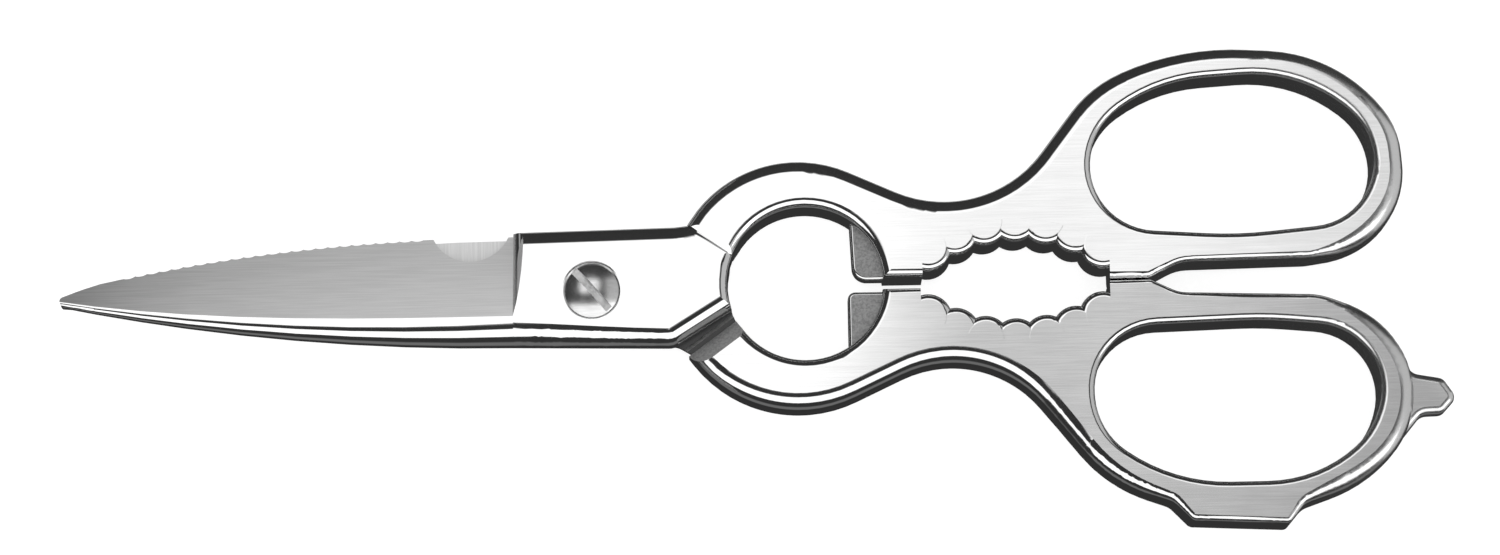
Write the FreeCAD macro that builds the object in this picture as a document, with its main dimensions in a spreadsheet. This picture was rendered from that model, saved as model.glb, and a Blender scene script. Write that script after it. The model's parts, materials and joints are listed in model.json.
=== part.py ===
"""Poultry shears with a slotted pivot screw, a cap-grip jaw, a hammer pad and a lever tip.

Two forged halves cross at a screw. Each half is drawn in a forging frame of its own, with the mating
plane at z = 0, its outer face towards +z, the blade towards -x and the finger bow towards +x +y. The
rear half is then turned over about the x axis, so one set of functions builds both. All lengths are
in millimetres.
"""

import math
import os

import FreeCAD
import Part
import Sketcher
from FreeCAD import Placement, Rotation, Vector

# Alias, value and meaning of every driving dimension.
DIMENSIONS = [
    ("frame_x", -24.5, "from the pivot to the middle of the length"),
    ("frame_y", 0.6, "from the pivot to the middle of the width"),
    ("mating_height", 4.0, "mating plane above the table"),
    ("outer_thick", 4.0, "handle above the mating plane"),
    ("handle_thick", 8.0, "whole handle"),
    ("plate_thick", 3.4, "pivot plate"),
    ("lug_run", 2.7, "run of the slope behind the other half's plate, past the step"),
    ("lug_groove", 1.4, "how far that slope goes on into the plate"),
    ("lug_rise", 4.6, "rise of the whole slope"),
    ("ring_radius", 11.7, "bottle opener ring"),
    ("ring_x", 32.2, "ring centre along the shears"),
    ("ring_y", 0.5, "ring centre across them"),
    ("ring_rim", 1.4, "rounding of the ring's edges"),
    ("web_thick", 3.0, "bottle opener web"),
    ("lobe_rim", 1.0, "rounding of the jaw lobes' edges"),
    ("tip_thick", 3.6, "lever tip"),
    ("step_run", 0.9, "run of the slope down to the pivot plate"),
    ("blade_root", -11.9, "where the ground blade starts"),
    ("blade_run", 68.6, "length along which the blade curves are given"),
    ("edge_land", 0.35, "flat left at the cutting edge"),
    ("tip_thin", 2.1, "how much thinner the blade is at its tip"),
    ("spine_line", -3.8, "upper end of the spine flat at the root"),
    ("spine_rise", 3.75, "how far that line rises to the tip"),
    ("spine_rim", 3.2, "rounding of the spine at the root"),
    ("spine_fade", 2.7, "how much smaller that rounding is at the tip"),
    ("tooth_pitch", 1.82, "pitch of the serrations"),
    ("tooth_depth", 0.22, "depth of the serrations"),
    ("notch_radius", 6.1, "bone notch"),
    ("notch_x", -18.35, "bone notch centre along the shears"),
    ("notch_y", 11.2, "bone notch centre across them"),
    ("head_seat_radius", 4.5, "seat of the screw head"),
    ("head_seat_depth", 1.0, "depth of that seat"),
    ("pivot_hole_radius", 2.55, "running hole for the screw"),
    ("nut_seat_radius", 4.6, "seat of the nut"),
    ("nut_seat_depth", 1.9, "depth of that seat"),
    ("head_radius", 4.3, "screw head"),
    ("head_rim", 0.6, "straight rim of the head"),
    ("head_dome", 1.2, "height of the dome"),
    ("shank_radius", 2.5, "screw shank"),
    ("slot_width", 1.15, "screwdriver slot"),
    ("slot_depth", 1.0, "depth of the slot"),
    ("slot_angle", -49.0, "direction of the slot"),
    ("nut_radius", 4.4, "nut"),
    ("nut_thick", 1.5, "nut"),
    ("nut_bore_radius", 2.52, "bore of the nut"),
    ("nut_slot_width", 1.2, "spanner slots of the nut"),
    ("washer_radius", 4.2, "spring washer"),
    ("washer_bore_radius", 2.6, "bore of the washer"),
    ("washer_thick", 0.4, "spring washer"),
]

# Corners in the forging frame, going round with the material inside: x, y, radius of the corner, and
# rounding of the upper and lower edges there, which changes evenly along the lines between corners.
# A pair gives it where the corner starts and ends; None leaves the edges sharp.
STEP_START = (14.5, 10.0)
STEP_END = (22.4, 4.2)
FRONT_HANDLE = [
    (*STEP_START, 0, 2.4),
    (23.6, 24.9, 19.2, 2.4),
    (59.5, 8.6, 18.4, 2.4),
    (76.2, 30.6, 19.4, 2.4),
    (90.2, 36.7, 41.3, 2.3),
    (114.4, 35.0, 23.0, 2.2),
    (122.9, 23.2, 12.8, 2.2),
    (123.9, 4.9, 13.4, (2.2, 1.4)),
    (108.1, 3.1, 10.1, 0.9),
    (88.7, 2.8, 6.7, 0.8),
    (84.1, 0.3, 1.8, 1.0),
    (72.0, 0.3, 60.0, 1.1),
    (56.0, 1.2, 60.0, 1.1),
    (33.0, 1.2),
    STEP_END,
]
FRONT_BOW = [
    (76.8, 24.1, 11.3, 1.0),
    (86.3, 30.9, 25.0, 1.0),
    (107.7, 32.3, 22.0, 1.0),
    (117.9, 23.9, 11.2, 1.0),
    (120.1, 9.0, 10.1, 1.0),
    (97.6, 6.9, 60.0, 1.0),
    (73.6, 8.5, 10.0, 1.0),
]
FRONT_WEB = [(38.9, 13.0, 0, 0.5), (39.4, 1.2, 2.2, 0.5), (48.0, 1.2, 0, 0.5), (48.0, 13.0)]
REAR_HANDLE = [
    (*STEP_START, 0, 2.4),
    (24.9, 23.9, 20.0, 2.4),
    (58.9, 7.9, 17.2, 2.4),
    (77.1, 30.6, 22.0, (2.2, 1.5)),
    (86.3, 33.7, 3.0, (1.3, 1.2)),
    (89.3, 36.7, 1.2, 0.9),
    (103.7, 37.35, 1.0, 0.8),
    (106.2, 34.4, 3.0, (1.1, 1.4)),
    (114.7, 31.6, 22.0, (2.0, 2.2)),
    (123.4, 23.7, 14.4, 2.2),
    (123.0, 7.1, 14.2, (2.2, 1.4)),
    (109.4, 2.5, 10.0, 0.9),
    (88.5, 1.9, 5.0, 0.7),
    (84.3, -0.1, 1.5, 0.6),
    (72.0, -0.1, 60.0, 0.8),
    (56.0, 0.6, 60.0, 0.8),
    (33.0, 0.6),
    STEP_END,
]
REAR_BOW = [
    (75.6, 22.9, 10.7, 1.0),
    (86.7, 30.9, 26.0, 1.0),
    (108.3, 30.8, 20.4, 1.0),
    (116.5, 23.7, 12.0, 1.0),
    (121.7, 8.2, 9.9, 1.0),
    (101.2, 6.3, 60.0, 1.0),
    (74.7, 7.1, 10.0, 1.0),
]
REAR_WEB = [(38.6, 13.0, 0, 0.5), (38.6, 0.6, 1.1, 0.5), (48.0, 0.6, 0, 0.5), (48.0, 13.0)]
LEVER_TIP = [
    (121.0, 11.0, 0, 1.1),
    (123.4, 14.5, 2.0, 1.1),
    (127.9, 15.3, 1.5, 1.1),
    (129.9, 18.3, 1.5, 1.1),
    (127.6, 20.8, 1.5, 1.1),
    (124.4, 20.9, 2.0, 1.1),
    (121.0, 25.0, 0, 1.1),
]
PLATE_IN_HANDLE = [(24.0, -1.283), (24.6, 3.0), (23.4, 5.8), (16.3, 10.3, 0, 2.4)]
FRONT_PLATE = [(-11.9, -8.1, 0, 3.3), (12.3, -8.6, 2.6, 2.5)] + PLATE_IN_HANDLE
FRONT_PLATE += [(12.6, 9.95, 3.0, 2.8), (-11.9, 9.5, 0, 2.8)]
REAR_PLATE = [(-11.9, -8.7, 0, 2.6), (12.3, -8.9, 2.6, 2.4)] + PLATE_IN_HANDLE
REAR_PLATE += [(12.8, 8.2, 3.0, 2.4), (-11.9, 7.5, 0, 2.4)]
TIP_TRIM = [
    (-73.0, 3.3),
    (-77.5, 1.85, 12.0),
    (-80.7, 0.55, 0.7),
    (-80.2, -0.6, 1.0),
    (-75.0, -2.9),
    (-86.0, -4.0),
    (-86.0, 6.0),
    (-73.0, 6.0),
]

# Where the blade's cross-sections stand, as fractions of the blade run.
STATIONS = [0.0, 0.12, 0.24, 0.36, 0.48, 0.6, 0.72, 0.82, 0.92, 1.04]

# Each half's own figures: cutting edge and back at the root, how far each closes on the other at the
# tip, with what power, and the jaw's notch circle as centre x, centre y, radius and pitch in degrees.
FRONT = {
    "handle": FRONT_HANDLE,
    "bow": FRONT_BOW,
    "plate": FRONT_PLATE,
    "side": 1,
    "edge": (9.0, 7.6, 2.25),
    "back": (-8.1, 7.4),
    "jaw": (64.0, -12.5, 21.1, 12.0),
}
REAR = {
    "handle": REAR_HANDLE,
    "bow": REAR_BOW,
    "plate": REAR_PLATE,
    "side": -1,
    "edge": (7.6, 7.4, 2.0),
    "back": (-8.5, 7.4),
    "jaw": (63.8, -15.2, 22.9, 11.0),
}
LOBES = 7
LOBE_HEIGHT = 1.3
NOTCH_BACK = 1.2
# Lobes stand a hair below the handle's faces, every other one a little more, so that they cross.
LOBE_SUNK = 0.01
SHOULDER_MIDDLE = (1.1, 1.2)
SHOULDER_TOP = (1.75, 3.4)
TEETH = 25
FIRST_TOOTH = -71.0

doc = FreeCAD.newDocument("PoultryShears")
sheet = doc.addObject("Spreadsheet::Sheet", "Dims")


def fill_sheet():
    for row, (alias, value, meaning) in enumerate(DIMENSIONS, start=1):
        sheet.set(f"A{row}", meaning)
        sheet.set(f"B{row}", str(value))
        sheet.setAlias(f"B{row}", alias)
    doc.recompute()


def size(alias):
    return float(sheet.get(alias))


def new_body(name):
    body = doc.addObject("PartDesign::Body", name)
    body.Label = name
    return body


def new_sketch(body, name, plane="XY_Plane", offset=None):
    """An empty sketch on one of the body's own planes, raised along its normal by an expression."""
    sketch = body.newObject("Sketcher::SketchObject", name)
    support = next(f for f in body.Origin.OriginFeatures if f.Role == plane)
    sketch.AttachmentSupport = [(support, "")]
    sketch.MapMode = "FlatFace"
    if offset:
        sketch.setExpression("AttachmentOffset.Base.z", offset)
    return sketch


def corner_arcs(corners):
    """Start, middle and end of every corner's arc, which are one point where the corner is sharp."""
    arcs = []
    for i, corner in enumerate(corners):
        here = Vector(corner[0], corner[1], 0)
        if len(corner) == 2 or corner[2] == 0:
            arcs.append((here, here, here))
            continue
        back = (Vector(*corners[i - 1][:2], 0) - here).normalize()
        ahead = (Vector(*corners[(i + 1) % len(corners)][:2], 0) - here).normalize()
        half_angle = back.getAngle(ahead) / 2
        run = corner[2] / math.tan(half_angle)
        reach = corner[2] / math.sin(half_angle)
        inward = (back + ahead).normalize()
        arcs.append((here + back * run, here + inward * (reach - corner[2]), here + ahead * run))
    return arcs


def rounded(corners):
    """Lines and tangent arcs round a closed run of corners."""
    geometry = []
    arcs = corner_arcs(corners)
    for i, (start, middle, end) in enumerate(arcs):
        if (end - start).Length > 1e-6:
            geometry.append(Part.Arc(start, middle, end))
        geometry.append(Part.LineSegment(end, arcs[(i + 1) % len(arcs)][0]))
    return geometry


def rim_places(corners):
    """Where each corner's arc starts and ends, with the rounding of the rim at both places."""
    places = []
    for corner, (start, _, end) in zip(corners, corner_arcs(corners)):
        rim = corner[3] if len(corner) == 4 else None
        first, last = rim if isinstance(rim, tuple) else (rim, rim)
        places.append((start, first))
        places.append((end, last))
    return places


def rim_at(point, places):
    for place, rim in places:
        if (Vector(point.x, point.y, 0) - place).Length < 1e-3:
            return rim
    return None


def at_joint(points):
    """Whether all points lie where the handle steps up from the plate, or where the blade starts."""
    along = (Vector(*STEP_END, 0) - Vector(*STEP_START, 0)).normalize()
    away = [Vector(p.x, p.y, 0) - Vector(*STEP_START, 0) for p in points]
    step = all(a.cross(along).Length < 1e-3 for a in away)
    return step or all(abs(p.x - size("blade_root")) < 1e-3 for p in points)


def on_ring(points, half):
    centre = Vector(size("ring_x"), size("ring_y") * half["side"], 0)
    away = [(Vector(p.x, p.y, 0) - centre).Length for p in points]
    return all(abs(a - size("ring_radius")) < 1e-3 for a in away)


def rim_edges(shape, heights, outlines, half):
    """Edges to round, as (number, rounding at one end, rounding at the other)."""
    places = [place for corners in outlines for place in rim_places(corners)]
    chosen = []
    for number, edge in enumerate(shape.Edges, start=1):
        ends = [v.Point for v in edge.Vertexes]
        level = any(all(abs(p.z - height) < 1e-4 for p in ends) for height in heights)
        if len(ends) != 2 or not level or at_joint(ends):
            continue
        if on_ring(ends, half):
            chosen.append((number, size("ring_rim"), size("ring_rim")))
            continue
        rims = [rim_at(p, places) for p in ends]
        known = [rim for rim in rims if rim is not None]
        if known:
            chosen.append((number, rims[0] or known[0], rims[1] or known[0]))
    return chosen


def round_rims(name, body, heights, outlines, half):
    """The body with the upper and lower edges of its outlines rounded."""
    doc.recompute()
    rounding = doc.addObject("Part::Fillet", name)
    rounding.Base = body
    rounding.Edges = rim_edges(body.Shape, heights, outlines, half)
    return rounding


def add_pad(body, name, corners, length, offset=None):
    sketch = new_sketch(body, name + "_outline", offset=offset)
    sketch.addGeometry(rounded(corners), False)
    pad = body.newObject("PartDesign::Pad", name)
    pad.Profile = sketch
    pad.setExpression("Length", length)
    return pad


def add_pocket(body, name, geometry, depth=None, offset=None, construction=None):
    """A pocket down from the given height, through everything both ways if it has no depth."""
    sketch = new_sketch(body, name + "_outline", offset=offset)
    sketch.addGeometry(geometry, False)
    if construction:
        construction(sketch)
    pocket = body.newObject("PartDesign::Pocket", name)
    pocket.Profile = sketch
    if depth:
        pocket.setExpression("Length", depth)
    else:
        pocket.Type = "ThroughAll"
        pocket.Midplane = True
    return pocket


def round_hole(radius, x=None, y=None):
    """Geometry and constraints of a circle whose radius and centre follow the sheet."""

    def constrain(sketch):
        sketch.addConstraint(Sketcher.Constraint("Radius", 0, size(radius)))
        sketch.setExpression("Constraints[0]", "Dims." + radius)
        if x is None:
            sketch.addConstraint(Sketcher.Constraint("Coincident", 0, 3, -1, 1))
            return
        sketch.addConstraint(Sketcher.Constraint("DistanceX", -1, 1, 0, 3, size(x)))
        sketch.setExpression("Constraints[1]", "Dims." + x)
        sketch.addConstraint(Sketcher.Constraint("DistanceY", -1, 1, 0, 3, y[1]))
        sketch.setExpression("Constraints[2]", y[0])

    centre = Vector(size(x), y[1], 0) if x else Vector(0, 0, 0)
    return [Part.Circle(centre, Vector(0, 0, 1), size(radius))], constrain


def rounded_handle(name, half):
    """The full-thickness handle: finger bow, jaw, ring and the slope behind the other half's plate."""
    body = new_body(name)
    add_pad(body, "handle", half["handle"], "Dims.handle_thick", "Dims.outer_thick - Dims.handle_thick")
    top = size("outer_thick")
    bottom = top - size("handle_thick")
    add_pocket(body, "finger_bow", rounded(half["bow"]))
    add_ring(body, half)
    rounding = round_rims(name + "_rims", body, (bottom, top), (half["handle"], half["bow"]), half)
    opening = new_body(name + "_jaw")
    sketch = new_sketch(opening, name + "_jaw_outline", offset="-Dims.handle_thick")
    sketch.addGeometry(jaw_outline(half), False)
    jaw = opening.newObject("PartDesign::Pad", name + "_jaw_tool")
    jaw.Profile = sketch
    jaw.Length = 2 * size("handle_thick")
    cut = doc.addObject("Part::Cut", name + "_cut")
    cut.Base = rounding
    cut.Tool = opening
    return cut


def rounded_plate(name, half):
    """The pivot plate, rounded along its outer edges and round the ring."""
    body = new_body(name)
    add_pad(body, "pivot_plate", half["plate"], "Dims.plate_thick")
    add_ring(body, half)
    return round_rims(name + "_rims", body, (size("plate_thick"),), (half["plate"],), half)


def rounded_slab(name, corners, thick, half):
    """A slab in the middle of the thickness with both edges of its outline rounded."""
    body = new_body(name)
    add_pad(body, name + "_slab", corners, thick, f"-{thick} / 2")
    doc.recompute()
    reach = body.Shape.BoundBox.ZMax
    return round_rims(name + "_rims", body, (-reach, reach), (corners,), half)


def jaw_lobe(name, half, number):
    """One lobe of the jaw: an upright half-round bar with rounded rims, its back in the handle."""
    bar = doc.addObject("Part::Cylinder", name)
    radius, distance = lobe_circle(half)
    bar.Radius = radius + size("lobe_rim")
    sunk = LOBE_SUNK * (1 + number % 2)
    bar.setExpression("Height", f"Dims.handle_thick - {2 * sunk}")
    _, _, _, pitch = half["jaw"]
    turn = pitch * (number - (LOBES - 1) / 2)
    place_at = jaw_place(half, distance, turn)
    bar.Angle = 180
    foot = size("outer_thick") - size("handle_thick") + sunk
    base = Vector(place_at.x, place_at.y, foot)
    bar.Placement = Placement(base, Rotation(Vector(0, 0, 1), 180 - turn))
    doc.recompute()
    rims = [i for i, e in enumerate(bar.Shape.Edges, start=1) if isinstance(e.Curve, Part.Circle)]
    rounding = doc.addObject("Part::Fillet", name + "_rims")
    rounding.Base = bar
    rounding.Edges = [(i, size("lobe_rim"), size("lobe_rim")) for i in rims]
    return rounding


def fused(name, shapes):
    blank = doc.addObject("Part::MultiFuse", name)
    blank.Shapes = shapes
    blank.Refine = False
    doc.recompute()
    return blank


def joined(name, half, pieces):
    """All pieces of one half in one solid, with the jaw's lobes."""
    lobes = [jaw_lobe(f"{name}_lobe_{i}", half, i) for i in range(LOBES)]
    return fused(name, [fused(name + "_pieces", pieces)] + lobes)


def blade_curves(half, at):
    """Expressions for back, spine line, edge and thickness at a fraction of the blade run."""
    root, drop, power = half["edge"]
    back, rise = half["back"]
    return {
        "back": f"{back} + {rise} * {at ** 2:.5f}",
        "line": f"Dims.spine_line + Dims.spine_rise * {at ** 3:.5f}",
        "edge": f"{root} - {drop} * {at ** power:.5f}",
        "thick": f"Dims.plate_thick - Dims.tip_thin * {at:.5f}",
        "rim": f"Dims.spine_rim - Dims.spine_fade * {at:.5f}",
    }


def station(body, half, number, at):
    """One cross-section: mating face, back, spine flat, ground bevel and edge land."""
    sketch = new_sketch(body, f"blade_{number}", "YZ_Plane", f"Dims.blade_root - Dims.blade_run * {at:.5f}")
    curves = blade_curves(half, at)
    numbers = {key: sketch.evalExpression(text) for key, text in curves.items()}
    land = size("edge_land")
    back, thick, rim = numbers["back"], numbers["thick"], numbers["rim"]
    centre = Vector(back + rim, thick - rim, 0)
    corner = Part.ArcOfCircle(Part.Circle(centre, Vector(0, 0, 1), rim), math.pi / 2, math.pi)
    points = [
        Vector(back + rim, thick, 0),
        Vector(numbers["line"], thick, 0),
        Vector(numbers["edge"], land, 0),
        Vector(numbers["edge"], 0, 0),
        Vector(back, 0, 0),
        Vector(back, thick - rim, 0),
    ]
    sketch.addGeometry([Part.LineSegment(a, b) for a, b in zip(points, points[1:])] + [corner], False)
    chain = [Sketcher.Constraint("Coincident", i, 2, i + 1, 1) for i in range(4)]
    tangent = [Sketcher.Constraint("Tangent", 4, 2, 5, 2), Sketcher.Constraint("Tangent", 0, 1, 5, 1)]
    level = [
        Sketcher.Constraint("Horizontal", 0),
        Sketcher.Constraint("Vertical", 2),
        Sketcher.Constraint("PointOnObject", 2, 2, -1),
        Sketcher.Constraint("PointOnObject", 3, 2, -1),
    ]
    sketch.addConstraint(chain + tangent + level)
    measures = [
        ("DistanceX", 4, 1, "back"),
        ("DistanceX", 1, 1, "line"),
        ("DistanceX", 2, 1, "edge"),
        ("DistanceY", 0, 1, "thick"),
    ]
    for kind, line, end, key in measures:
        index = sketch.addConstraint(Sketcher.Constraint(kind, -1, 1, line, end, numbers[key]))
        sketch.setExpression(f"Constraints[{index}]", curves[key])
    index = sketch.addConstraint(Sketcher.Constraint("Radius", 5, rim))
    sketch.setExpression(f"Constraints[{index}]", curves["rim"])
    index = sketch.addConstraint(Sketcher.Constraint("DistanceY", -1, 1, 2, 1, land))
    sketch.setExpression(f"Constraints[{index}]", "Dims.edge_land")
    return sketch


def add_blade(body, half):
    sections = [station(body, half, i, at) for i, at in enumerate(STATIONS)]
    loft = body.newObject("PartDesign::AdditiveLoft", "blade")
    loft.Profile = sections[0]
    loft.Sections = sections[1:]
    loft.Ruled = True
    add_pocket(body, "tip_trim", rounded(TIP_TRIM))


def add_ring(body, half):
    """The bottle opener ring."""
    centre_y = (f"Dims.ring_y * {half['side']}", size("ring_y") * half["side"])
    circle, constrain = round_hole("ring_radius", "ring_x", centre_y)
    add_pocket(body, "opener_ring", circle, construction=constrain)


def jaw_place(half, distance, degrees):
    """The point so far from the centre of the jaw's notch circle, at an angle from +y."""
    x, y, _, _ = half["jaw"]
    turn = math.radians(degrees)
    return Vector(x + distance * math.sin(turn), y + distance * math.cos(turn), 0)


def lobe_circle(half):
    """Radius of a lobe's flat face, and how far its centre is from that of the notch circle."""
    _, _, radius, pitch = half["jaw"]
    turn = math.radians(pitch / 2)
    crest = radius - LOBE_HEIGHT
    rise = radius * math.cos(turn) - crest
    lobe = (rise ** 2 + (radius * math.sin(turn)) ** 2) / (2 * rise)
    return lobe, crest + lobe


def jaw_outline(half):
    """The jaw's opening without its lobes, ending a little behind the notches between them."""
    _, _, radius, pitch = half["jaw"]
    first = -pitch * LOBES / 2
    start = jaw_place(half, radius, first)
    end = jaw_place(half, radius, -first)
    left = jaw_place(half, radius + NOTCH_BACK, first + pitch / 2)
    right = jaw_place(half, radius + NOTCH_BACK, -first - pitch / 2)
    geometry = [Part.Arc(left, jaw_place(half, radius + NOTCH_BACK, 0), right)]
    corners = [right, end, Vector(end.x, -2, 0), Vector(start.x, -2, 0), start, left]
    for here, there in zip(corners, corners[1:]):
        geometry.append(Part.LineSegment(here, there))
    return geometry


def add_slopes(body):
    """The slope from the handle down to the pivot plate, and the shoulder ground behind the blade."""
    along = (Vector(*STEP_END, 0) - Vector(*STEP_START, 0)).normalize()
    across = Vector(-along.y, along.x, 0)
    run = size("step_run")
    rise = size("outer_thick") - size("plate_thick")
    corners = [(0, 0), (run, rise), (run, rise + 1), (-0.5, rise + 1), (-0.5, 0)]
    base = Vector(*STEP_START, size("plate_thick")) - along * 6
    cut_along(body, "step_slope", base, across, along, lines(corners + corners[:1]), 22.0)
    run, groove = size("lug_run"), size("lug_groove")
    rise = size("lug_rise")
    corners = [(run, 0), (-groove, rise), (-groove, -1), (run, -1)]
    base.z = size("outer_thick") - size("handle_thick")
    cut_along(body, "lug_slope", base, across, along, lines(corners + corners[:1]), 22.0)
    fall = -(size("plate_thick") - size("edge_land")) / (9.0 - size("spine_line"))
    along = Vector(0, 1, fall).normalize()
    base = Vector(size("blade_root"), size("spine_line"), size("plate_thick"))
    wall = [Part.Arc(Vector(0, 0, 0), Vector(*SHOULDER_MIDDLE, 0), Vector(*SHOULDER_TOP, 0))]
    wall += lines([SHOULDER_TOP, (-1.0, SHOULDER_TOP[1]), (-1.0, 0), (0, 0)])
    cut_along(body, "shoulder", base, Vector(1, 0, 0), along, wall, 16.0)


def cut_along(body, name, base, across, along, geometry, length):
    """A pocket of one section, drawn from base with x across, swept the given way."""
    sketch = new_sketch(body, name + "_outline")
    upward = across.cross(along)
    if upward.z < 0:
        upward = -upward
    normal = across.cross(upward)
    turn = Rotation(across, upward, normal, "ZXY")
    sketch.AttachmentOffset = Placement(base, turn)
    sketch.addGeometry(geometry, False)
    pocket = body.newObject("PartDesign::Pocket", name)
    pocket.Profile = sketch
    pocket.Length = length
    pocket.Reversed = normal.dot(along) > 0
    return pocket


def add_hole(body, name, radius, depth=None, offset=None):
    circle, constrain = round_hole(radius)
    add_pocket(body, name, circle, depth, offset, constrain)


def half_body(name, half, pieces):
    """A body that starts from the joined pieces of one half, with its ground slopes and blade."""
    body = new_body(name)
    body.BaseFeature = joined(name + "_blank", half, pieces)
    doc.recompute()
    add_slopes(body)
    add_blade(body, half)
    return body


def front_half():
    pieces = [
        rounded_handle("front_handle", FRONT),
        rounded_plate("front_plate", FRONT),
        rounded_slab("front_web", FRONT_WEB, "Dims.web_thick", FRONT),
    ]
    body = half_body("front_half", FRONT, pieces)
    circle, constrain = round_hole("notch_radius", "notch_x", ("Dims.notch_y", size("notch_y")))
    add_pocket(body, "bone_notch", circle, construction=constrain)
    add_serrations(body)
    add_hole(body, "pivot_hole", "pivot_hole_radius")
    add_hole(body, "head_seat", "head_seat_radius", "Dims.head_seat_depth", "Dims.plate_thick")
    place_half(body, turned=False)
    return body


def add_serrations(body):
    """Shallow scallops side by side along the front half's cutting edge."""
    pitch = size("tooth_pitch")
    depth = size("tooth_depth")
    root, drop, power = FRONT["edge"]

    def edge_at(x):
        at = (size("blade_root") - x) / size("blade_run")
        return root - drop * at ** power

    geometry = []
    xs = [FIRST_TOOTH + pitch * i for i in range(TEETH + 1)]
    for left, right in zip(xs, xs[1:]):
        middle = (left + right) / 2
        geometry.append(
            Part.Arc(
                Vector(left, edge_at(left), 0),
                Vector(middle, edge_at(middle) - depth, 0),
                Vector(right, edge_at(right), 0),
            )
        )
    corners = [Vector(xs[-1], edge_at(xs[-1]), 0), Vector(xs[-1], 12, 0), Vector(xs[0], 12, 0)]
    corners.append(Vector(xs[0], edge_at(xs[0]), 0))
    for here, there in zip(corners, corners[1:]):
        geometry.append(Part.LineSegment(here, there))
    add_pocket(body, "serrations", geometry)


def rear_half():
    pieces = [
        rounded_handle("rear_handle", REAR),
        rounded_plate("rear_plate", REAR),
        rounded_slab("rear_web", REAR_WEB, "Dims.web_thick", REAR),
        rounded_slab("lever_tip", LEVER_TIP, "Dims.tip_thick", REAR),
    ]
    body = half_body("rear_half", REAR, pieces)
    add_hole(body, "pivot_hole", "pivot_hole_radius")
    add_hole(body, "nut_seat", "nut_seat_radius", "Dims.nut_seat_depth", "Dims.plate_thick")
    place_half(body, turned=True)
    return body


def place_half(body, turned):
    turn = Rotation(Vector(1, 0, 0), 180 if turned else 0)
    body.Placement = Placement(Vector(0, 0, 0), turn)
    place(body, "Dims.mating_height")


def place(item, height):
    item.setExpression("Placement.Base.x", "Dims.frame_x")
    item.setExpression("Placement.Base.y", "Dims.frame_y")
    item.setExpression("Placement.Base.z", height)


def turned_body(name, profile, height):
    """A body turned about the pivot axis from an outline of (radius, height) corners."""
    body = new_body(name)
    sketch = new_sketch(body, name + "_profile", "XZ_Plane")
    sketch.addGeometry(profile, False)
    turn = body.newObject("PartDesign::Revolution", name + "_turned")
    turn.Profile = sketch
    turn.ReferenceAxis = (sketch, ["V_Axis"])
    turn.Angle = 360
    place(body, height)
    return body


def lines(points):
    return [Part.LineSegment(Vector(*a, 0), Vector(*b, 0)) for a, b in zip(points, points[1:])]


def pivot_screw():
    """Domed slotted screw; its z = 0 is the underside of the head."""
    head = size("head_radius")
    rim = size("head_rim")
    top = rim + size("head_dome")
    shank = size("shank_radius")
    depth = size("plate_thick") * 2 - size("head_seat_depth")
    dome_radius = (head ** 2 + size("head_dome") ** 2) / (2 * size("head_dome"))
    middle = Vector(head / 2, top - dome_radius + math.sqrt(dome_radius ** 2 - head ** 2 / 4), 0)
    profile = [Part.Arc(Vector(0, top, 0), middle, Vector(head, rim, 0))]
    profile += lines([(head, rim), (head, 0), (shank, 0), (shank, -depth), (0, -depth), (0, top)])
    body = turned_body(
        "pivot_screw", profile, "Dims.mating_height + Dims.plate_thick - Dims.head_seat_depth"
    )
    half = size("slot_width") / 2
    slot = [(-head - 1, -half), (head + 1, -half), (head + 1, half), (-head - 1, half)]
    add_slot(body, "driver_slot", slot, "Dims.slot_depth", "Dims.head_rim + Dims.head_dome")
    body.Placement = Placement(body.Placement.Base, Rotation(Vector(0, 0, 1), size("slot_angle")))
    return body


def add_slot(body, name, corners, depth, offset):
    add_pocket(body, name, rounded(corners), depth, offset)


def lock_nut():
    """Round nut with two spanner slots; its z = 0 is the face towards the table."""
    outer = size("nut_radius")
    bore = size("nut_bore_radius")
    thick = size("nut_thick")
    profile = lines([(bore, 0), (outer, 0), (outer, thick), (bore, thick), (bore, 0)])
    body = turned_body("lock_nut", profile, "Dims.mating_height - Dims.plate_thick")
    half = size("nut_slot_width") / 2
    for name, side in (("slot_left", -1), ("slot_right", 1)):
        inner, end = side * (bore + 0.7), side * (outer + 1)
        slot = [(inner, -half), (end, -half), (end, half), (inner, half)]
        add_slot(body, name, slot[::side], "Dims.nut_thick / 2", "Dims.nut_thick / 2")
    return body


def spring_washer():
    outer = size("washer_radius")
    bore = size("washer_bore_radius")
    thick = size("washer_thick")
    profile = lines([(bore, 0), (outer, 0), (outer, thick), (bore, thick), (bore, 0)])
    return turned_body(
        "spring_washer", profile, "Dims.mating_height - Dims.plate_thick + Dims.nut_thick"
    )


def check(items):
    """Stop unless every feature is in order and every shape is there and valid."""
    for item in items:
        if "Invalid" in item.State or "Error" in item.State:
            raise RuntimeError(f"{item.Label} is {item.State}")
        if item.isDerivedFrom("Part::Feature") and not item.isDerivedFrom("Sketcher::SketchObject"):
            if item.Shape.isNull() or not item.Shape.isValid():
                raise RuntimeError(f"{item.Label} has no valid shape")


fill_sheet()
parts = [front_half(), rear_half(), pivot_screw(), lock_nut(), spring_washer()]
doc.recompute()
check(doc.Objects)
os.makedirs("parts", exist_ok=True)
for part in parts:
    part.Shape.exportStep(f"parts/{part.Label}.step")
    box = part.Shape.BoundBox
    print(part.Label, len(part.Shape.Solids), "solid,", round(part.Shape.Volume), "mm3,", box)
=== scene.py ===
"""Looks of the poultry shears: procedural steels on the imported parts, a pale floor and studio light."""

import json
import math

import bpy
from mathutils import Matrix, Vector

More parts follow.
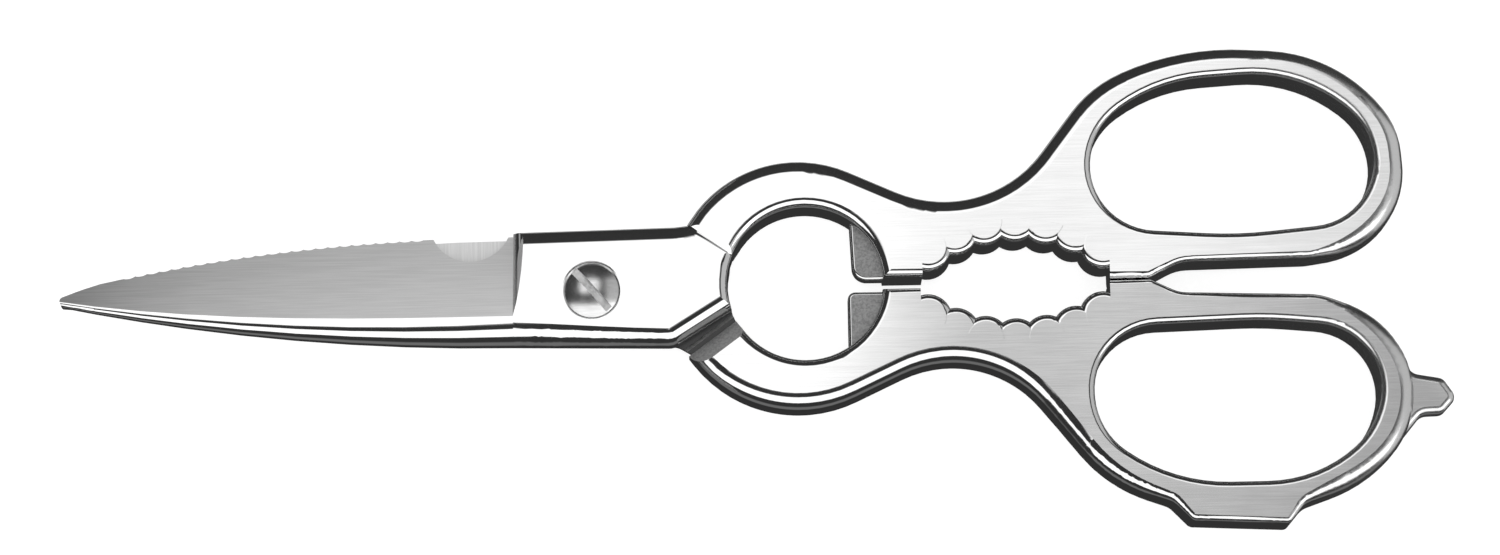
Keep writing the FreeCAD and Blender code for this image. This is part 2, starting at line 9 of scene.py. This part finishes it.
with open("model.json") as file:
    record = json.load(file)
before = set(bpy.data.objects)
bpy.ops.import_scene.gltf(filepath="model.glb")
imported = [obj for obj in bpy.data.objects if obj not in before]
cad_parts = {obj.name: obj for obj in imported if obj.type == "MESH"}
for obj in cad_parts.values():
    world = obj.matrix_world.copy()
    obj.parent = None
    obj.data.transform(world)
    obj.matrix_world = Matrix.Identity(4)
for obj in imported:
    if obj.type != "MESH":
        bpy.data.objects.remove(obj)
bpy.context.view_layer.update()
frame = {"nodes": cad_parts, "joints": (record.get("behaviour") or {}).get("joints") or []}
PIVOT = Vector(frame["joints"][0]["pos_m"])

# ---------------------------------------------------------------- stage

CAMERA_TILT = math.radians(12.0)
CAMERA_TURN = math.radians(-1.0)
CAMERA_DISTANCE = 0.680
CAMERA_TARGET = Vector((0.02386, 0.0022, 0.006))
CAMERA_LENS = 108.07
CAMERA_NEAR = 0.01
SENSOR = 36.0

FLOOR_REACH = 6.0
FLOOR_HEIGHT = -0.0002
FLOOR_GREY = (0.36, 0.36, 0.36, 1.0)
FLOOR_GLOW = 0.84

# The far panels that the steel reflects. Each has its middle in degrees from straight up towards -Y
# and then +X, half its size in those two directions, its soft border and its brightness.
PANELS = (
    {"front": -19.0, "right": -6.0, "half_front": 19.0, "half_right": 24.0, "soft": 9.0, "strength": 1.22},
    {"front": 42.0, "right": 4.0, "half_front": 24.0, "half_right": 56.0, "soft": 5.0, "strength": 1.30},
    {"front": 116.0, "right": 0.0, "half_front": 22.0, "half_right": 60.0, "soft": 14.0, "strength": 0.13},
    {"front": -142.0, "right": 0.0, "half_front": 9.0, "half_right": 60.0, "soft": 4.0, "strength": 0.35},
    {"front": -4.0, "right": 70.0, "half_front": 42.0, "half_right": 46.0, "soft": 10.0, "strength": 0.50},
)
PANEL_HORIZON = 0.02
ROOM_LIGHT = 0.032
OPEN_LIGHT = 1.0

# ---------------------------------------------------------------- places on the steel, in metres

BLADE_ROOT = PIVOT.x - 0.0119
BLADE_FADE = (BLADE_ROOT + 0.0010, BLADE_ROOT - 0.0002)
BLADE_REACH = (BLADE_ROOT - 0.068, BLADE_ROOT)
BLADE_SIDES = (-0.004, 0.008)
HANDLE_FADE = (PIVOT.x + 0.030, PIVOT.x + 0.060)
FAR_FADE = (PIVOT.x + 0.080, PIVOT.x + 0.124)
LUG_REACH = (PIVOT.x + 0.0120, PIVOT.x + 0.0290)
WEB_REACH = (PIVOT.x + 0.0350, PIVOT.x + 0.0475)
REACH_FADE = 0.0002

# The height at which the two halves meet, distances from it, and the height of the screw's slot.
MATING_HEIGHT = 0.0040
INNER_FADE = (0.00006, 0.00002)
WEB_FADE = (0.00175, 0.00155)
SLOT_FLOOR = 0.0072
SLOT_FADE = (SLOT_FLOOR + 0.0001, SLOT_FLOOR + 0.0003)

# Parts of the unit normal between which a finish fades in.
FLAT_LEVEL = (0.990, 0.9995)
SLOT_LEVEL = (0.97, 0.99)
BEVEL_LEAN = (0.10, 0.15)
BEVEL_LEVEL = (0.5, 0.6)
LUG_LEVEL = (0.60, 0.72)
LUG_FACING = (-0.36, -0.40)
LEVEL_FADE = 0.01

# ---------------------------------------------------------------- finishes

# Reflectivity of the flats at the pivot plate, and the painted shade that lowers it over the handle and
# further at the far end of the bow, deeper on the rear half; with the direction of the brushing in degrees,
# its roughness and its relief.
FRONT_LOOK = {
    "plate": 0.88,
    "handle": 0.76,
    "far": 0.62,
    "brushing": 40.0,
    "flat_rough": 0.15,
    "relief": 0.05,
}
REAR_LOOK = {
    "plate": 0.84,
    "handle": 0.52,
    "far": 0.42,
    "brushing": -42.0,
    "flat_rough": 0.20,
    "relief": 0.07,
}
FINE_TONES = (-0.025, 0.025)
BROAD_TONES = (-0.012, 0.012)
CLOUD_ROUGH = (-0.012, 0.03)
RIM_ROUGH = 0.06
FAR_RIM_ROUGH = 0.24
PLATE_ROUGH = 0.10
RIM_RELIEF = 0.02

BEVEL_TONES = (0.36, 0.70)
BEVEL_SIDE_TONES = (0.06, -0.04)
BEVEL_GRAIN_TONES = (-0.035, 0.035)
BEVEL_TURN = -5.0
BEVEL_RELIEF = 0.25
INNER_TONES = (0.64, 0.74)
INNER_TURN = 3.0
# Painted shadow: a near-black tone on the mating face around the pivot, between the two halves.
UNDER_PLATE_SHADE = 0.06
BLADE_ROUGH = 0.36
BLADE_SATIN = 0.5

PATCH_TONES = (0.22, 0.38)
PATCH_ROUGH = 0.42
PATCH_RELIEF = 0.5
PATCH_SATIN = 0.4

SCRATCH_TURN = 35.0
SCRATCH_RELIEF = 0.3
SMALL_CLOUD_ROUGH = (-0.02, 0.03)
SLOT_TONES = (0.62, 0.92)
SLOT_ROUGH = 0.5

# Cycles per metre, detail and roughness of the even noises; cycles per metre along x, y and z of
# the noises that are drawn out into streaks; and the part of a noise's range that is used.
CLOUDS = (70.0, 4.0, 0.6)
SMALL_CLOUDS = (900.0, 4.0, 0.6)
SPECKLES = (2600.0, 3.0, 0.7)
FINE_BRUSHING = (150.0, 5200.0, 700.0)
BROAD_BRUSHING = (60.0, 1100.0, 300.0)
BEVEL_GRAIN = (130.0, 5200.0, 500.0)
INNER_GRAIN = (5200.0, 120.0, 500.0)
SCRATCHES = (500.0, 4000.0, 900.0)
NOISE_SPAN = (0.3, 0.7)

RELIEF_DEPTH = 0.00002
RELIEF_STRENGTH = 0.5


# ---------------------------------------------------------------- nodes


class Graph:
    """Short calls that add and join shader nodes in one node tree."""

    def __init__(self, tree):
        self.tree = tree
        tree.nodes.clear()

    def add(self, kind, **settings):
        node = self.tree.nodes.new(kind)
        for key, value in settings.items():
            setattr(node, key, value)
        return node

    def join(self, value, socket):
        if isinstance(value, bpy.types.NodeSocket):
            self.tree.links.new(value, socket)
        else:
            socket.default_value = value

    def math(self, operation, a, b=0.0):
        node = self.add("ShaderNodeMath", operation=operation)
        self.join(a, node.inputs[0])
        self.join(b, node.inputs[1])
        return node.outputs[0]

    def times(self, first, *others):
        for value in others:
            first = self.math("MULTIPLY", first, value)
        return first

    def plus(self, first, *others):
        for value in others:
            first = self.math("ADD", first, value)
        return first

    def dot(self, vector, axis):
        node = self.add("ShaderNodeVectorMath", operation="DOT_PRODUCT")
        self.join(vector, node.inputs[0])
        self.join(tuple(axis), node.inputs[1])
        return node.outputs["Value"]

    def ramp(self, value, low, high, to_low=0.0, to_high=1.0, smooth=True):
        """A value carried from one span to another, and held at the new span's ends."""
        node = self.add("ShaderNodeMapRange", interpolation_type="SMOOTHSTEP" if smooth else "LINEAR")
        node.clamp = True
        for key, number in (("From Min", low), ("From Max", high), ("To Min", to_low), ("To Max", to_high)):
            self.join(number, node.inputs[key])
        self.join(value, node.inputs["Value"])
        return node.outputs["Result"]

    def within(self, value, low, high, fade):
        """1 where a value lies between two limits, fading out over a short way inside them."""
        return self.times(self.ramp(value, low, low + fade), self.ramp(value, high - fade, high, 1.0, 0.0))

    def mix(self, factor, a, b):
        node = self.add("ShaderNodeMix", data_type="FLOAT")
        self.join(factor, node.inputs[0])
        self.join(a, node.inputs[2])
        self.join(b, node.inputs[3])
        return node.outputs[0]

    def noise(self, vector, scale, detail, roughness=0.5):
        node = self.add("ShaderNodeTexNoise")
        node.inputs["Scale"].default_value = scale
        node.inputs["Detail"].default_value = detail
        node.inputs["Roughness"].default_value = roughness
        self.join(vector, node.inputs["Vector"])
        return node.outputs["Fac"]

    def streaks(self, vector, turn, scale, detail=4.0):
        """Noise drawn out along one direction, and turned about z by so many degrees."""
        node = self.add("ShaderNodeMapping", vector_type="POINT")
        node.inputs["Rotation"].default_value = (0.0, 0.0, math.radians(turn))
        node.inputs["Scale"].default_value = scale
        self.join(vector, node.inputs["Vector"])
        return self.noise(node.outputs["Vector"], 1.0, detail)

    def spread(self, noise, low, high):
        """The middle of a noise's range, carried to a span of values."""
        return self.ramp(noise, *NOISE_SPAN, low, high)

    def split(self, vector):
        node = self.add("ShaderNodeSeparateXYZ")
        self.join(vector, node.inputs[0])
        return node.outputs["X"], node.outputs["Y"], node.outputs["Z"]

    def grey(self, value):
        """A neutral colour from a number."""
        node = self.add("ShaderNodeCombineColor")
        for key in ("Red", "Green", "Blue"):
            self.join(value, node.inputs[key])
        return node.outputs["Color"]


def new_material(name):
    material = bpy.data.materials.new(name)
    material.use_nodes = True
    return material, Graph(material.node_tree)


# ---------------------------------------------------------------- camera, light and floor


def make_camera():
    data = bpy.data.cameras.new("camera")
    data.sensor_width = SENSOR
    data.lens = CAMERA_LENS
    data.clip_start = CAMERA_NEAR
    camera = bpy.data.objects.new("camera", data)
    bpy.context.scene.collection.objects.link(camera)
    back = Vector((0.0, -math.sin(CAMERA_TILT), math.cos(CAMERA_TILT)))
    place = Matrix.Translation(CAMERA_TARGET + back * CAMERA_DISTANCE)
    tilt = Matrix.Rotation(CAMERA_TILT, 4, "X")
    turn = Matrix.Rotation(CAMERA_TURN, 4, "Z")
    pivot = Matrix.Translation((PIVOT.x, PIVOT.y, 0.0))
    camera.matrix_world = pivot @ turn @ place @ tilt
    bpy.context.scene.camera = camera


def direction(towards_front, towards_right):
    """Unit vector so many degrees from straight up towards -Y, and then towards +X."""
    front = math.radians(towards_front)
    right = math.radians(towards_right)
    return Vector((math.sin(right), -math.sin(front) * math.cos(right), math.cos(front) * math.cos(right)))


def softbox(graph, heading, front, right, half_front, half_right, soft, strength):
    """Brightness of one far rectangular panel seen along a heading; angles in degrees."""
    centre = direction(front, right)
    across = direction(front, right + 90.0)
    along = centre.cross(across)
    depth = graph.dot(heading, centre)
    level = graph.math("GREATER_THAN", depth, PANEL_HORIZON)
    for axis, half in ((across, half_right), (along, half_front)):
        ratio = graph.math("ABSOLUTE", graph.math("DIVIDE", graph.dot(heading, axis), depth))
        edge = math.tan(math.radians(half))
        inner = math.tan(math.radians(max(half - soft, 0.0)))
        level = graph.times(level, graph.ramp(ratio, inner, edge, 1.0, 0.0))
    return graph.times(level, strength)


def make_world():
    """Even light on the floor, and a dim room with bright panels in what the steel reflects."""
    world = bpy.data.worlds.new("studio")
    bpy.context.scene.world = world
    world.use_nodes = True
    graph = Graph(world.node_tree)
    heading = graph.add("ShaderNodeTexCoord").outputs["Generated"]
    panels = [softbox(graph, heading, **panel) for panel in PANELS]
    light = graph.plus(panels[0], ROOM_LIGHT, *panels[1:])
    rays = graph.add("ShaderNodeLightPath")
    strength = graph.mix(rays.outputs["Is Glossy Ray"], OPEN_LIGHT, light)
    background = graph.add("ShaderNodeBackground")
    background.inputs["Color"].default_value = (1.0, 1.0, 1.0, 1.0)
    graph.join(strength, background.inputs["Strength"])
    out = graph.add("ShaderNodeOutputWorld")
    graph.join(background.outputs[0], out.inputs["Surface"])


def floor_material():
    material, graph = new_material("floor")
    shade = graph.add("ShaderNodeBsdfDiffuse")
    shade.inputs["Color"].default_value = FLOOR_GREY
    glow = graph.add("ShaderNodeEmission")
    glow.inputs["Strength"].default_value = FLOOR_GLOW
    both = graph.add("ShaderNodeAddShader")
    graph.join(shade.outputs[0], both.inputs[0])
    graph.join(glow.outputs[0], both.inputs[1])
    out = graph.add("ShaderNodeOutputMaterial")
    graph.join(both.outputs[0], out.inputs["Surface"])
    return material


def make_floor():
    """A square floor, which the steel doesn't reflect."""
    data = bpy.data.meshes.new("floor")
    sides = ((-1, -1), (1, -1), (1, 1), (-1, 1))
    data.from_pydata([(FLOOR_REACH * x, FLOOR_REACH * y, 0.0) for x, y in sides], [], [(0, 1, 2, 3)])
    floor = bpy.data.objects.new("floor", data)
    floor.location.z = FLOOR_HEIGHT
    bpy.context.scene.collection.objects.link(floor)
    data.materials.append(floor_material())
    floor.visible_glossy = False


# ---------------------------------------------------------------- steels


class Surface:
    """Where a shaded point lies on its part and which way it faces, as sockets."""

    def __init__(self, graph):
        coordinates = graph.add("ShaderNodeTexCoord")
        self.place = coordinates.outputs["Object"]
        self.x, self.y, self.z = graph.split(self.place)
        self.ahead, self.across, self.up = graph.split(coordinates.outputs["Normal"])
        self.steep = graph.math("ABSOLUTE", self.up)
        self.flat = graph.ramp(self.steep, *FLAT_LEVEL)
        self.blade = graph.ramp(self.x, *BLADE_FADE)
        self.meeting = graph.math("ABSOLUTE", graph.math("SUBTRACT", self.z, MATING_HEIGHT))


def overlay(graph, mask, below, above):
    """One coat laid over another; what the upper coat doesn't name stays as it is."""
    return {key: graph.mix(mask, below[key], above[key]) if key in above else below[key] for key in below}


def finish_steel(graph, coat, metal):
    """Joins a coat's tone, roughness and height, and the metallic share, to the output."""
    bump = graph.add("ShaderNodeBump")
    bump.inputs["Distance"].default_value = RELIEF_DEPTH
    bump.inputs["Strength"].default_value = RELIEF_STRENGTH
    graph.join(coat["height"], bump.inputs["Height"])
    shader = graph.add("ShaderNodeBsdfPrincipled")
    graph.join(graph.grey(coat["tone"]), shader.inputs["Base Color"])
    graph.join(coat["rough"], shader.inputs["Roughness"])
    graph.join(bump.outputs["Normal"], shader.inputs["Normal"])
    graph.join(metal, shader.inputs["Metallic"])
    out = graph.add("ShaderNodeOutputMaterial")
    graph.join(shader.outputs[0], out.inputs["Surface"])


def polished_coat(graph, surface, look):
    """Polished rims, and brushed flats with painted shade that darkens them over the handle and the bow's
    far end.
    """
    handle = graph.ramp(surface.x, *HANDLE_FADE)
    far = graph.ramp(surface.x, *FAR_FADE)
    clouds = graph.noise(surface.place, *CLOUDS)
    fine = graph.streaks(surface.place, look["brushing"], FINE_BRUSHING)
    broad = graph.streaks(surface.place, look["brushing"], BROAD_BRUSHING, 3.0)
    # Painted shade: the flats darken from the plate towards the handle, and again at the bow's far end.
    tone = graph.mix(graph.times(surface.flat, handle), look["plate"], look["handle"])
    tone = graph.mix(graph.times(surface.flat, far), tone, look["far"])
    fine_tone = graph.times(surface.flat, graph.spread(fine, *FINE_TONES))
    broad_tone = graph.times(surface.flat, graph.spread(broad, *BROAD_TONES))
    rim_rough = graph.mix(far, RIM_ROUGH, FAR_RIM_ROUGH)
    flat_rough = graph.mix(handle, PLATE_ROUGH, look["flat_rough"])
    rough = graph.mix(surface.flat, rim_rough, flat_rough)
    return {
        "tone": graph.plus(tone, fine_tone, broad_tone),
        "rough": graph.plus(rough, graph.spread(clouds, *CLOUD_ROUGH)),
        "height": graph.times(fine, graph.mix(surface.flat, RIM_RELIEF, look["relief"])),
    }


def bevel_mask(graph, surface):
    """The blade's outer face, which leans towards its cutting edge on either half."""
    lean = graph.ramp(graph.times(surface.across, surface.up), *BEVEL_LEAN)
    return graph.times(lean, graph.ramp(surface.steep, *BEVEL_LEVEL), surface.blade)


def bevel_coat(graph, surface):
    """Satin grinding along the blade, brighter towards the root and the spine."""
    grain = graph.streaks(surface.place, BEVEL_TURN, BEVEL_GRAIN)
    along = graph.ramp(surface.x, *BLADE_REACH, *BEVEL_TONES, smooth=False)
    offset = graph.times(graph.math("SUBTRACT", surface.y, PIVOT.y), surface.up)
    side = graph.ramp(offset, *BLADE_SIDES, *BEVEL_SIDE_TONES)
    return {
        "tone": graph.plus(along, side, graph.spread(grain, *BEVEL_GRAIN_TONES)),
        "rough": BLADE_ROUGH,
        "height": graph.times(grain, BEVEL_RELIEF),
    }


def inner_mask(graph, surface):
    """The flat faces on which the two halves meet."""
    return graph.times(graph.ramp(surface.meeting, *INNER_FADE), surface.flat)


def inner_coat(graph, surface):
    """Satin grinding across the blade's inner face, and painted shadow on the mating face around the pivot,
    between the two halves.
    """
    grain = graph.streaks(surface.place, INNER_TURN, INNER_GRAIN)
    return {
        # Outside the blade the mating face gets painted shadow; on the blade it keeps its grinding.
        "tone": graph.mix(surface.blade, UNDER_PLATE_SHADE, graph.spread(grain, *INNER_TONES)),
        "rough": BLADE_ROUGH,
    }


def patch_mask(graph, surface):
    """The lug's slope and the opener webs, which are left as forged."""
    slope = graph.within(surface.steep, *LUG_LEVEL, LEVEL_FADE)
    facing = graph.ramp(surface.ahead, *LUG_FACING)
    lug = graph.times(slope, graph.within(surface.x, *LUG_REACH, REACH_FADE), facing)
    depth = graph.ramp(surface.meeting, *WEB_FADE)
    web = graph.times(depth, graph.within(surface.x, *WEB_REACH, REACH_FADE), surface.flat)
    return graph.math("MAXIMUM", lug, web)


def patch_coat(graph, surface):
    """A darker, finely speckled steel."""
    speckles = graph.noise(surface.place, *SPECKLES)
    return {
        "tone": graph.spread(speckles, *PATCH_TONES),
        "rough": PATCH_ROUGH,
        "height": graph.times(speckles, PATCH_RELIEF),
    }


def half_steel(name, look):
    """One forged half: polished rims, brushed flats, ground blade, lug slope and opener web."""
    material, graph = new_material(name)
    surface = Surface(graph)
    bevel = bevel_mask(graph, surface)
    inner = inner_mask(graph, surface)
    patch = patch_mask(graph, surface)
    coat = polished_coat(graph, surface, look)
    coat = overlay(graph, bevel, coat, bevel_coat(graph, surface))
    coat = overlay(graph, inner, coat, inner_coat(graph, surface))
    coat = overlay(graph, patch, coat, patch_coat(graph, surface))
    satin = graph.times(graph.math("MAXIMUM", bevel, inner), BLADE_SATIN)
    satin = graph.math("MAXIMUM", satin, graph.times(patch, PATCH_SATIN))
    finish_steel(graph, coat, graph.math("SUBTRACT", 1.0, satin))
    return material


def turned_steel(name, tone, rough, scratches):
    """Turned or pressed steel with fine scratches; low upward faces, as in the slot, are duller."""
    material, graph = new_material(name)
    surface = Surface(graph)
    clouds = graph.noise(surface.place, *SMALL_CLOUDS)
    scratch = graph.streaks(surface.place, SCRATCH_TURN, SCRATCHES)
    coat = {
        "tone": graph.plus(tone, graph.spread(scratch, -scratches, scratches)),
        "rough": graph.plus(rough, graph.spread(clouds, *SMALL_CLOUD_ROUGH)),
        "height": graph.times(scratch, SCRATCH_RELIEF),
    }
    sunk = graph.times(graph.ramp(surface.z, *SLOT_FADE, 1.0, 0.0), graph.ramp(surface.up, *SLOT_LEVEL))
    coat = overlay(graph, sunk, coat, {"tone": graph.spread(clouds, *SLOT_TONES), "rough": SLOT_ROUGH})
    finish_steel(graph, coat, 1.0)
    return material


def dress(node, material):
    piece = frame["nodes"][node]
    piece.data.materials.clear()
    piece.data.materials.append(material)


bpy.context.scene.view_settings.view_transform = "Standard"
make_camera()
make_world()
make_floor()
dress("front_half", half_steel("front_steel", FRONT_LOOK))
dress("rear_half", half_steel("rear_steel", REAR_LOOK))
dress("pivot_screw", turned_steel("screw_steel", tone=0.74, rough=0.24, scratches=0.03))
dress("lock_nut", turned_steel("nut_steel", tone=0.60, rough=0.20, scratches=0.06))
dress("spring_washer", turned_steel("spring_steel", tone=0.45, rough=0.28, scratches=0.06))
